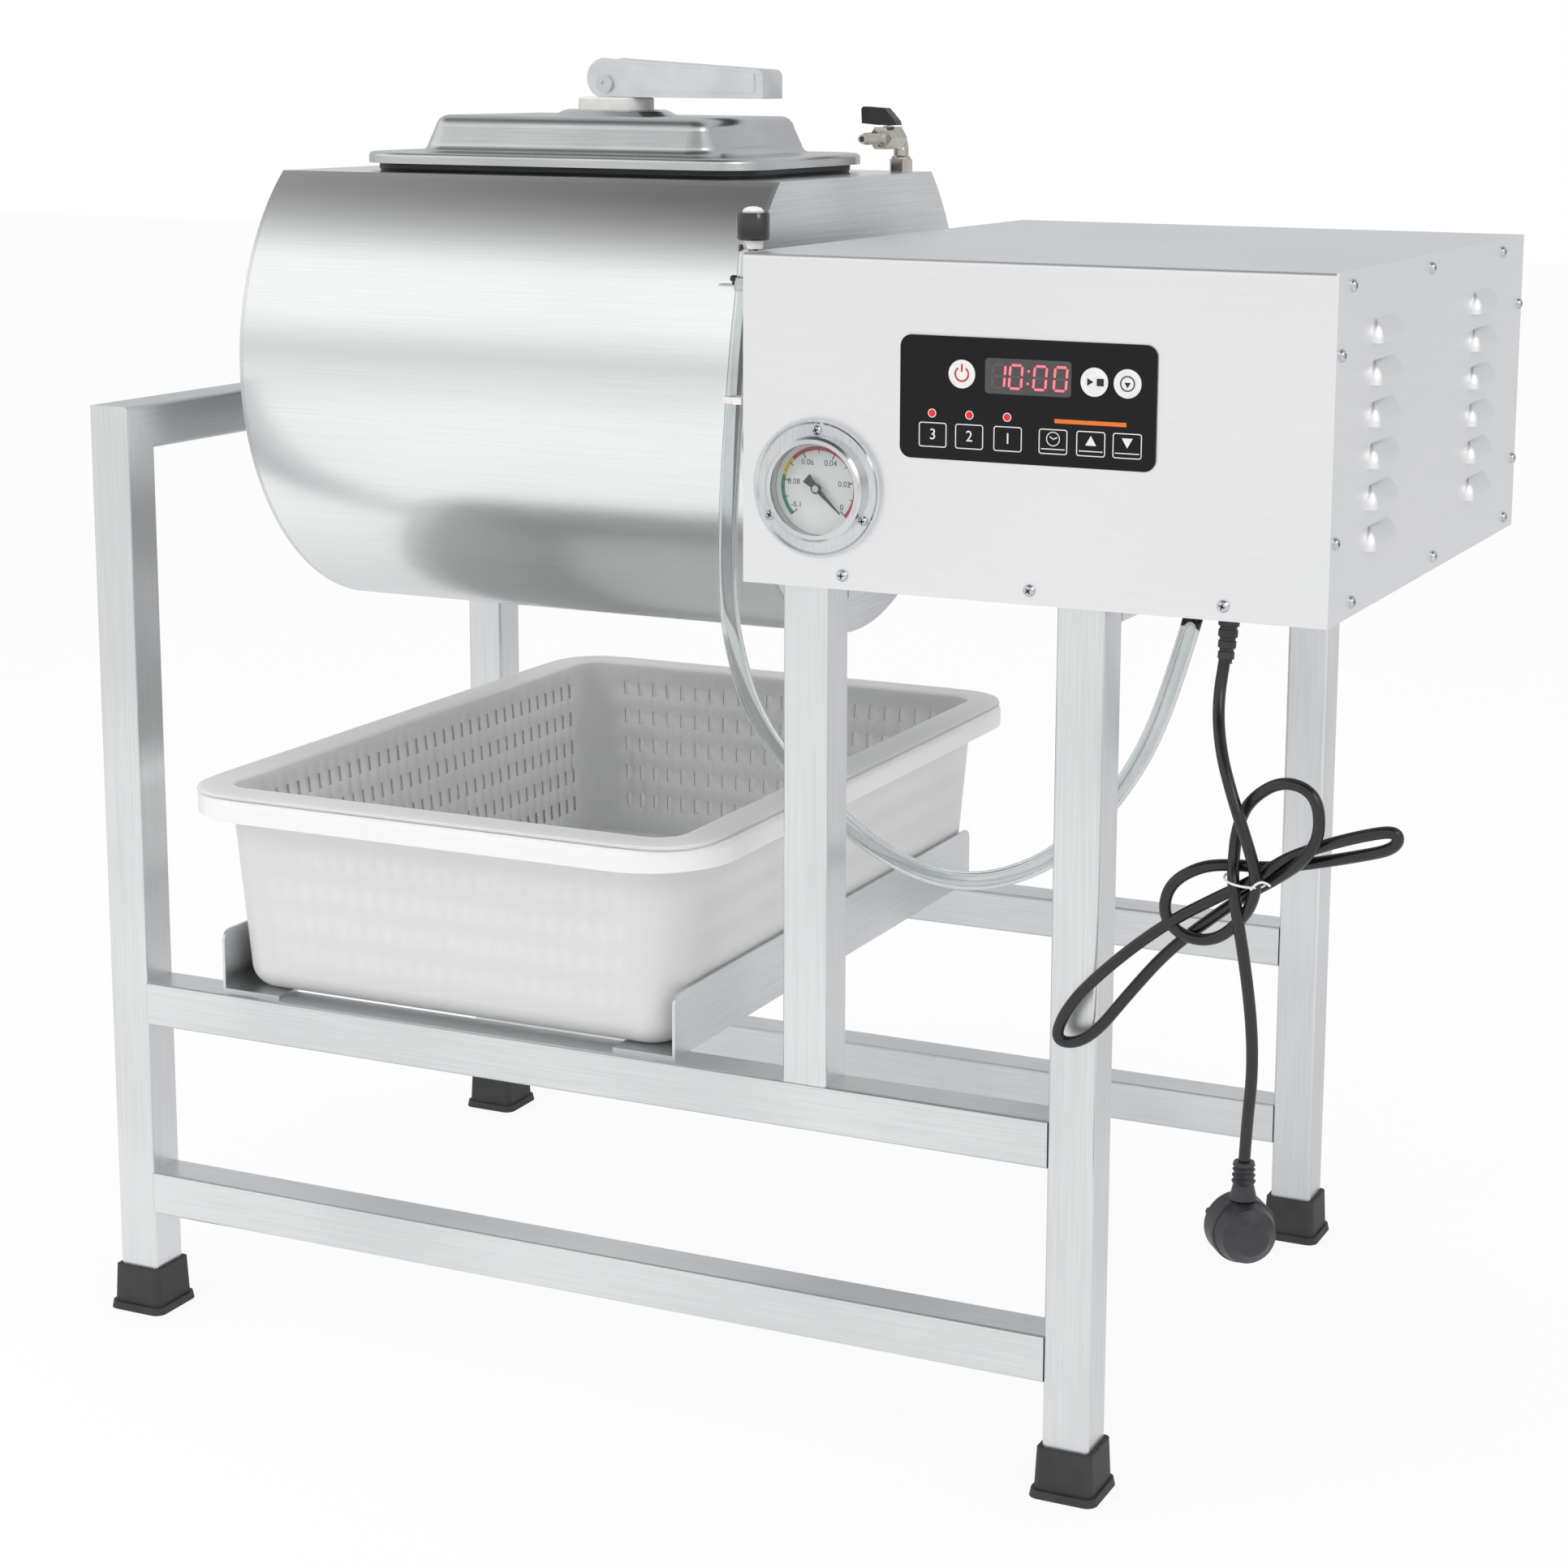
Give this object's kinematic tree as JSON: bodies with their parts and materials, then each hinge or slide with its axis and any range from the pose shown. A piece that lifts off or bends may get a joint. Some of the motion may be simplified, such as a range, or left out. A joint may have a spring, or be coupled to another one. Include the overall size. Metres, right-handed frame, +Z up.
{
  "type": "meat vacuum tumbler",
  "caption": "Horizontal steel drum with a clamped lid turning on a tube stand, driven from a side cabinet with gauge and control panel, with a slide-out tub and basket below.",
  "frame": {"origin": "on the floor under the middle of the object, without its loose cord and hose", "axes": "+Z up, +X along the drum's axis from the drum to the drive cabinet, -Y towards the operator"},
  "size_m": [0.9065, 0.5668, 0.861],
  "materials": {
    "brushed_steel": "brushed stainless steel",
    "satin_steel_sheet": "fine satin stainless sheet",
    "bright_steel": "bright polished steel",
    "nickel_plate": "nickel plated brass",
    "black_rubber": "black rubber and cord sheath",
    "black_plastic": "black plastic",
    "circuit_board": "green circuit board",
    "white_face": "printed white dial",
    "clear_glass": "clear gauge glass",
    "painted_casting": "grey painted casting",
    "clear_hose": "clear PVC hose",
    "white_nylon": "white nylon",
    "white_polyethylene": "white polyethylene"
  },
  "bodies": {
    "machine": {"left_front_leg": "brushed_steel", "left_back_leg": "brushed_steel", "left_top_tube": "brushed_steel", "mid_front_leg": "brushed_steel", "mid_back_leg": "brushed_steel", "right_front_leg": "brushed_steel", "right_back_leg": "brushed_steel", "cabinet_tubes": "brushed_steel", "front_mid_rail": "brushed_steel", "back_mid_rail": "brushed_steel", "front_low_rail": "brushed_steel", "back_low_rail": "brushed_steel", "rubber_feet": "black_rubber", "tub_brackets": "brushed_steel", "cabinet_shell": "satin_steel_sheet", "right_cover": "satin_steel_sheet", "left_panel": "satin_steel_sheet", "back_panel": "satin_steel_sheet", "base_plate": "brushed_steel", "fasteners": "bright_steel", "control_overlay": "black_plastic", "control_board": "circuit_board", "gauge_case": "bright_steel", "gauge_dial": "white_face", "gauge_glass": "clear_glass", "gear_motor": "painted_casting", "gear_head": "painted_casting", "motor_bracket": "brushed_steel", "right_bearing": "painted_casting", "vacuum_pump": "painted_casting", "vacuum_line": "clear_hose", "left_bearing": "painted_casting", "vacuum_hose": "clear_hose", "hose_connector": "black_plastic", "hose_clips": "bright_steel", "hose_fitting": "nickel_plate", "cord_gland": "black_rubber", "power_cord": "black_rubber", "cord_hank": "black_rubber", "power_plug": "black_rubber"},
    "drum": {"drum_wall": "brushed_steel", "drum_top_plate": "brushed_steel", "drum_left_end": "brushed_steel", "drum_right_end": "brushed_steel", "drum_baffles": "brushed_steel", "left_stub_shaft": "bright_steel", "drive_shaft": "bright_steel", "valve_elbow": "nickel_plate", "valve_body": "nickel_plate"},
    "lid": {"lid_pan": "brushed_steel", "lid_gasket": "black_rubber"},
    "lid_swivel": {"lid_spacer": "white_nylon"},
    "clamp": {"clamp_stud": "bright_steel", "clamp_bar": "bright_steel", "lever_pin": "bright_steel"},
    "lever": {"lid_lever": "bright_steel"},
    "valve_lever": {"valve_handle": "black_plastic"},
    "needle": {"gauge_needle": "black_plastic"},
    "tub": {"outer_tub": "white_polyethylene"},
    "basket": {"inner_basket": "white_polyethylene"}
  },
  "joints": [
    {"name": "drum_spin", "type": "hinge", "parent": "machine", "child": "drum", "pos_m": [-0.16628, -0.006, 0.654], "axis": [1, 0, 0], "continuous": true},
    {"name": "lid_lift", "type": "slide", "parent": "drum", "child": "lid", "axis": [0, 0, 1], "range_m": [0, 0.08]},
    {"name": "clamp_turn", "type": "hinge", "parent": "lid", "child": "lid_swivel", "pos_m": [-0.16278, -0.006, 0.83], "axis": [0, 0, 1], "range_deg": [0, 90]},
    {"name": "clamp_draw", "type": "slide", "parent": "lid_swivel", "child": "clamp", "axis": [0, 0, 1], "range_m": [0, 0.0056]},
    {"name": "lid_lever_turn", "type": "hinge", "parent": "clamp", "child": "lever", "pos_m": [-0.16278, -0.006, 0.8434], "axis": [0, -1, 0], "range_deg": [0, 90]},
    {"name": "valve_lever_turn", "type": "hinge", "parent": "drum", "child": "valve_lever", "pos_m": [0.00822, 0.072, 0.818], "axis": [0, 0, 1], "range_deg": [0, 90]},
    {"name": "gauge_needle_swing", "type": "hinge", "parent": "machine", "child": "needle", "pos_m": [0.11122, -0.2575, 0.61], "axis": [0, -1, 0], "range_deg": [0, 266]},
    {"name": "tub_slide", "type": "slide", "parent": "machine", "child": "tub", "axis": [0, -1, 0], "range_m": [0, 0.45]},
    {"name": "basket_lift", "type": "slide", "parent": "tub", "child": "basket", "axis": [0, 0, 1], "range_m": [0, 0.06]}
  ],
  "couplings": [
    {"joint": "clamp_draw", "follows": "lid_lever_turn", "m_per_rad": 0.0035651}
  ]
}
